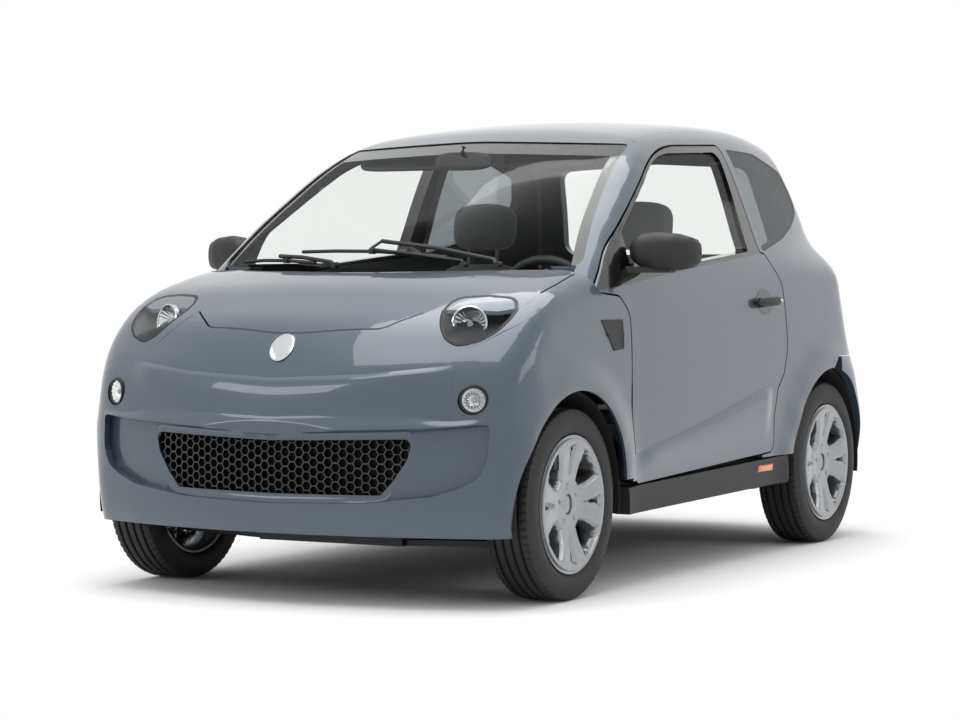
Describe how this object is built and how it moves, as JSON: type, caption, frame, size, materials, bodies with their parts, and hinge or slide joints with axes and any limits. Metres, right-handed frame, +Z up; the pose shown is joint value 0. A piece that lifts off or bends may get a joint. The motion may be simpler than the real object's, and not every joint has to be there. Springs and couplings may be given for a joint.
{
  "type": "two-seat microcar",
  "caption": "Short three-door microcar with rounded plastic body, sloping bonnet, doors, tailgate, steered front wheels and four rolling alloy wheels",
  "frame": {"origin": "on the ground under the middle of the body", "axes": "+X to the car's left, +Y to its rear along its length, +Z up"},
  "size_m": [1.7968, 2.9539, 1.4699],
  "materials": {
    "paint": "metallic lacquer over thermoformed plastic",
    "black_trim": "grained black",
    "gloss_black": "piano black",
    "glass": "clear",
    "dark_glass": "tinted",
    "lens": "clear polycarbonate",
    "red_lens": "red lens",
    "reflector": "bright",
    "tyre": "matt",
    "alloy": "silver lacquer",
    "steel": "machined",
    "black_steel": "black chassis paint",
    "floor_steel": "grey chassis paint",
    "seat_fabric": "woven",
    "dash_plastic": "soft grain",
    "cast": "sand cast",
    "core": "finned"
  },
  "bodies": {
    "shell": {"floor_pan": "floor_steel", "wheel_arch_liners": "black_trim", "front_fascia": "paint", "grille": "gloss_black", "front_wings": "paint", "side_frames": "paint", "roof_panel": "paint", "rear_bumper": "paint", "windscreen": "glass", "quarter_windows": "dark_glass", "headlamps": "gloss_black", "headlamp_lenses": "lens", "fog_lamps": "lens", "tail_lamps": "red_lens", "sill_covers": "black_trim", "dashboard": "dash_plastic", "seats": "seat_fabric", "steering_column": "dash_plastic", "wipers": "black_trim", "front_suspension": "black_steel", "rear_axle": "black_steel", "power_unit": "cast", "radiator": "core"},
    "door_left": {"door_left": "paint", "door_frame_left": "black_trim", "door_glass_left": "glass", "mirror_left": "gloss_black"},
    "knuckle_left": {"knuckle_left": "steel"},
    "wheel_front_left": {"tyre_front_left": "tyre", "rim_front_left": "alloy"},
    "wheel_rear_left": {"tyre_rear_left": "tyre", "rim_rear_left": "alloy"},
    "door_right": {"door_right": "paint", "door_frame_right": "black_trim", "door_glass_right": "glass", "mirror_right": "gloss_black"},
    "knuckle_right": {"knuckle_right": "steel"},
    "wheel_front_right": {"tyre_front_right": "tyre", "rim_front_right": "alloy"},
    "wheel_rear_right": {"tyre_rear_right": "tyre", "rim_rear_right": "alloy"},
    "bonnet": {"bonnet": "paint"},
    "tailgate": {"tailgate": "paint", "rear_glass": "dark_glass"},
    "steering_wheel": {"steering_wheel": "dash_plastic"}
  },
  "joints": [
    {"name": "door_left_hinge", "type": "hinge", "parent": "shell", "child": "door_left", "pos_m": [0.719, -0.667, 0.65], "axis": [0, 0, -1], "range_deg": [0, 65]},
    {"name": "door_right_hinge", "type": "hinge", "parent": "shell", "child": "door_right", "pos_m": [-0.719, -0.667, 0.65], "axis": [0, 0, 1], "range_deg": [0, 65]},
    {"name": "bonnet_hinge", "type": "hinge", "parent": "shell", "child": "bonnet", "pos_m": [0, -0.795, 0.95], "axis": [-1, 0, 0], "range_deg": [0, 50]},
    {"name": "tailgate_hinge", "type": "hinge", "parent": "shell", "child": "tailgate", "pos_m": [0, 1.06096, 1.40678], "axis": [1, 0, 0], "range_deg": [0, 80]},
    {"name": "steer_left", "type": "hinge", "parent": "shell", "child": "knuckle_left", "pos_m": [0.636, -0.97, 0.184], "axis": [-0.2196, 0, 0.9756], "range_deg": [-30, 30]},
    {"name": "steer_right", "type": "hinge", "parent": "shell", "child": "knuckle_right", "pos_m": [-0.636, -0.97, 0.184], "axis": [0.2196, 0, 0.9756], "range_deg": [-30, 30]},
    {"name": "steering_wheel_turn", "type": "hinge", "parent": "shell", "child": "steering_wheel", "pos_m": [0.3, -0.268, 0.82], "axis": [0, 0.9546, 0.298], "range_deg": [-450, 450]},
    {"name": "wheel_front_left_spin", "type": "hinge", "parent": "knuckle_left", "child": "wheel_front_left", "pos_m": [0.659, -0.97, 0.281], "axis": [1, 0, 0], "continuous": true},
    {"name": "wheel_front_right_spin", "type": "hinge", "parent": "knuckle_right", "child": "wheel_front_right", "pos_m": [-0.659, -0.97, 0.281], "axis": [1, 0, 0], "continuous": true},
    {"name": "wheel_rear_left_spin", "type": "hinge", "parent": "shell", "child": "wheel_rear_left", "pos_m": [0.659, 0.98, 0.281], "axis": [1, 0, 0], "continuous": true},
    {"name": "wheel_rear_right_spin", "type": "hinge", "parent": "shell", "child": "wheel_rear_right", "pos_m": [-0.659, 0.98, 0.281], "axis": [1, 0, 0], "continuous": true}
  ],
  "couplings": [
    {"joint": "steer_right", "follows": "steer_left", "ratio": 1},
    {"joint": "steering_wheel_turn", "follows": "steer_left", "ratio": 15}
  ]
}
